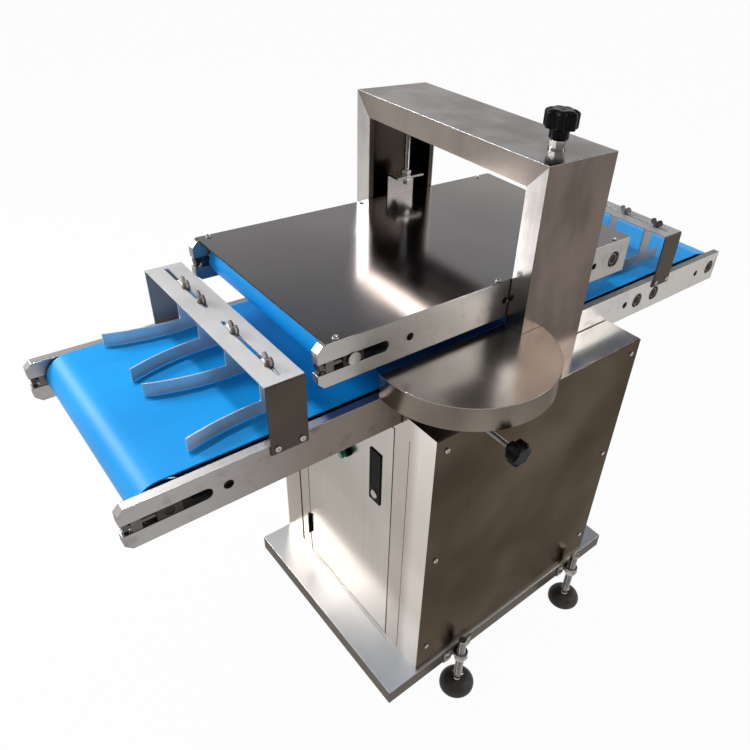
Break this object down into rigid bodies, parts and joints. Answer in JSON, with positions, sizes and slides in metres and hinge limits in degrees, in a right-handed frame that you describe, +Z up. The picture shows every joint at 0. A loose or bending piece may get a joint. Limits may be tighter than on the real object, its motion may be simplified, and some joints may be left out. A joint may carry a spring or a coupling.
{
  "type": "bun slicer",
  "caption": "Stand-alone bun slicer: a lower and a height-adjustable upper blue belt carry buns past a guarded horizontal disc knife, over a steel cabinet.",
  "frame": {"origin": "point on the floor under the middle of the lower belt", "axes": "+Y the way the buns travel, +X the operator's side with the knife, +Z up"},
  "size_m": [0.7279, 1.5, 1.295],
  "materials": {
    "sheet_steel": "brushed stainless sheet",
    "rail_aluminium": "satin milled",
    "roller_metal": "turned",
    "belt_blue": "satin polyurethane",
    "knob_black": "moulded, glossy",
    "lock_black": "black, satin",
    "pad_black": "black nylon",
    "bright_steel": "bright steel",
    "knife_steel": "ground",
    "motor_paint": "dark paint",
    "drive_belt_rubber": "matt",
    "button_green": "glossy"
  },
  "bodies": {
    "frame": {"arch_frame": "sheet_steel", "base_tray": "sheet_steel", "cabinet_shell": "sheet_steel", "foot_brackets": "sheet_steel", "foot_pads": "pad_black", "foot_studs": "bright_steel", "guide_bridges": "sheet_steel", "hinge_posts": "lock_black", "knife_drive_belt": "drive_belt_rubber", "knife_guard": "sheet_steel", "knife_motor": "motor_paint", "lift_chain": "bright_steel", "lower_bearings": "bright_steel", "lower_bed": "sheet_steel", "lower_belt": "belt_blue", "lower_cross_bars": "bright_steel", "lower_rail_left": "rail_aluminium", "lower_rail_right": "rail_aluminium", "lower_take_ups": "bright_steel", "panel_screws": "bright_steel", "side_panel": "sheet_steel", "spindle_housing": "rail_aluminium"},
    "upper_conveyor": {"upper_plate_left": "rail_aluminium", "upper_plate_right": "rail_aluminium", "upper_cross_bars": "bright_steel", "upper_cover": "sheet_steel", "cover_screws": "bright_steel", "upper_bed": "sheet_steel", "upper_belt": "belt_blue", "upper_take_ups": "bright_steel", "upper_bearings": "bright_steel", "lift_brackets": "sheet_steel", "lift_rods": "bright_steel"},
    "door": {"cabinet_door": "sheet_steel", "hinge_leaves": "lock_black", "lock_body": "lock_black", "power_collar": "lock_black"},
    "lock_lever": {"lock_lever": "lock_black"},
    "lock_button": {"lock_button": "bright_steel"},
    "power_button": {"power_button": "button_green"},
    "lower_drive_roller": {"lower_drive_roller": "roller_metal"},
    "lower_tail_roller": {"lower_tail_roller": "roller_metal"},
    "front_return_roller": {"front_return_roller": "roller_metal"},
    "rear_return_roller": {"rear_return_roller": "roller_metal"},
    "upper_drive_roller": {"upper_drive_roller": "roller_metal"},
    "upper_tail_roller": {"upper_tail_roller": "roller_metal"},
    "lift_knob": {"right_sprocket_nut": "bright_steel", "star_knob": "knob_black"},
    "left_sprocket_nut": {"left_sprocket_nut": "bright_steel"},
    "knife": {"disc_knife": "knife_steel", "knife_spindle": "bright_steel"},
    "motor_pulley": {"motor_pulley": "roller_metal"},
    "clamp_knob": {"clamp_rod": "bright_steel", "hand_knob": "knob_black"},
    "front_guide_outer_left": {"front_guide_outer_left": "sheet_steel"},
    "front_guide_inner_left": {"front_guide_inner_left": "sheet_steel"},
    "front_guide_inner_right": {"front_guide_inner_right": "sheet_steel"},
    "front_guide_outer_right": {"front_guide_outer_right": "sheet_steel"},
    "rear_guide_inner": {"rear_guide_inner": "sheet_steel"},
    "rear_guide_outer": {"rear_guide_outer": "sheet_steel"}
  },
  "joints": [
    {"name": "upper_lift", "type": "slide", "parent": "frame", "child": "upper_conveyor", "axis": [0, 0, 1], "range_m": [0, 0.04]},
    {"name": "lift_knob_turn", "type": "hinge", "parent": "frame", "child": "lift_knob", "pos_m": [0.196, 0.034, 1.23], "axis": [0, 0, 1], "range_deg": [-1441, 1]},
    {"name": "left_nut_turn", "type": "hinge", "parent": "frame", "child": "left_sprocket_nut", "pos_m": [-0.196, 0.034, 1.2], "axis": [0, 0, 1], "range_deg": [-1441, 1]},
    {"name": "lower_drive_spin", "type": "hinge", "parent": "frame", "child": "lower_drive_roller", "pos_m": [0, 0.719, 0.839], "axis": [1, 0, 0], "continuous": true},
    {"name": "lower_tail_spin", "type": "hinge", "parent": "frame", "child": "lower_tail_roller", "pos_m": [0, -0.684, 0.8375], "axis": [1, 0, 0], "continuous": true},
    {"name": "front_return_spin", "type": "hinge", "parent": "frame", "child": "front_return_roller", "pos_m": [0, 0.407, 0.8355], "axis": [1, 0, 0], "continuous": true},
    {"name": "rear_return_spin", "type": "hinge", "parent": "frame", "child": "rear_return_roller", "pos_m": [0, 0.474, 0.8355], "axis": [1, 0, 0], "continuous": true},
    {"name": "upper_drive_spin", "type": "hinge", "parent": "upper_conveyor", "child": "upper_drive_roller", "pos_m": [0, 0.26, 0.9785], "axis": [1, 0, 0], "continuous": true},
    {"name": "upper_tail_spin", "type": "hinge", "parent": "upper_conveyor", "child": "upper_tail_roller", "pos_m": [0, -0.383, 0.9785], "axis": [1, 0, 0], "continuous": true},
    {"name": "knife_spin", "type": "hinge", "parent": "frame", "child": "knife", "pos_m": [0.231, -0.164, 0.85], "axis": [0, 0, 1], "continuous": true},
    {"name": "motor_spin", "type": "hinge", "parent": "frame", "child": "motor_pulley", "pos_m": [0.231, 0.07, 0.77], "axis": [0, 0, 1], "continuous": true},
    {"name": "clamp_turn", "type": "hinge", "parent": "frame", "child": "clamp_knob", "pos_m": [0.33, -0.212, 0.847], "axis": [1, 0, 0], "range_deg": [0, 540]},
    {"name": "door_hinge", "type": "hinge", "parent": "frame", "child": "door", "pos_m": [-0.1255, -0.2825, 0.462], "axis": [0, 0, 1], "range_deg": [-110, 0]},
    {"name": "lock_lever_hinge", "type": "hinge", "parent": "door", "child": "lock_lever", "pos_m": [0.137, -0.2795, 0.6729], "axis": [1, 0, 0], "range_deg": [-45, 0]},
    {"name": "lock_button_press", "type": "slide", "parent": "door", "child": "lock_button", "axis": [0, 1, 0], "range_m": [0, 0.002], "stiffness_N_per_m": 500},
    {"name": "power_button_press", "type": "slide", "parent": "door", "child": "power_button", "axis": [0, 1, 0], "range_m": [0, 0.0035], "stiffness_N_per_m": 800},
    {"name": "front_guide_outer_left_slide", "type": "slide", "parent": "frame", "child": "front_guide_outer_left", "axis": [1, 0, 0], "range_m": [-0.02, 0.012]},
    {"name": "front_guide_inner_left_slide", "type": "slide", "parent": "frame", "child": "front_guide_inner_left", "axis": [1, 0, 0], "range_m": [-0.012, 0.017]},
    {"name": "front_guide_inner_right_slide", "type": "slide", "parent": "frame", "child": "front_guide_inner_right", "axis": [1, 0, 0], "range_m": [-0.015, 0.02]},
    {"name": "front_guide_outer_right_slide", "type": "slide", "parent": "frame", "child": "front_guide_outer_right", "axis": [1, 0, 0], "range_m": [-0.02, 0.027]},
    {"name": "rear_guide_inner_slide", "type": "slide", "parent": "frame", "child": "rear_guide_inner", "axis": [1, 0, 0], "range_m": [-0.02, 0.02]},
    {"name": "rear_guide_outer_slide", "type": "slide", "parent": "frame", "child": "rear_guide_outer", "axis": [1, 0, 0], "range_m": [-0.02, 0.02]}
  ],
  "couplings": [
    {"joint": "lift_knob_turn", "follows": "upper_lift", "rad_per_m": -628.32},
    {"joint": "left_nut_turn", "follows": "upper_lift", "rad_per_m": -628.32},
    {"joint": "lower_tail_spin", "follows": "lower_drive_spin", "ratio": 0.69325},
    {"joint": "front_return_spin", "follows": "lower_drive_spin", "ratio": 1},
    {"joint": "rear_return_spin", "follows": "lower_drive_spin", "ratio": 1},
    {"joint": "upper_tail_spin", "follows": "upper_drive_spin", "ratio": 1},
    {"joint": "motor_spin", "follows": "knife_spin", "ratio": 0.84127}
  ]
}
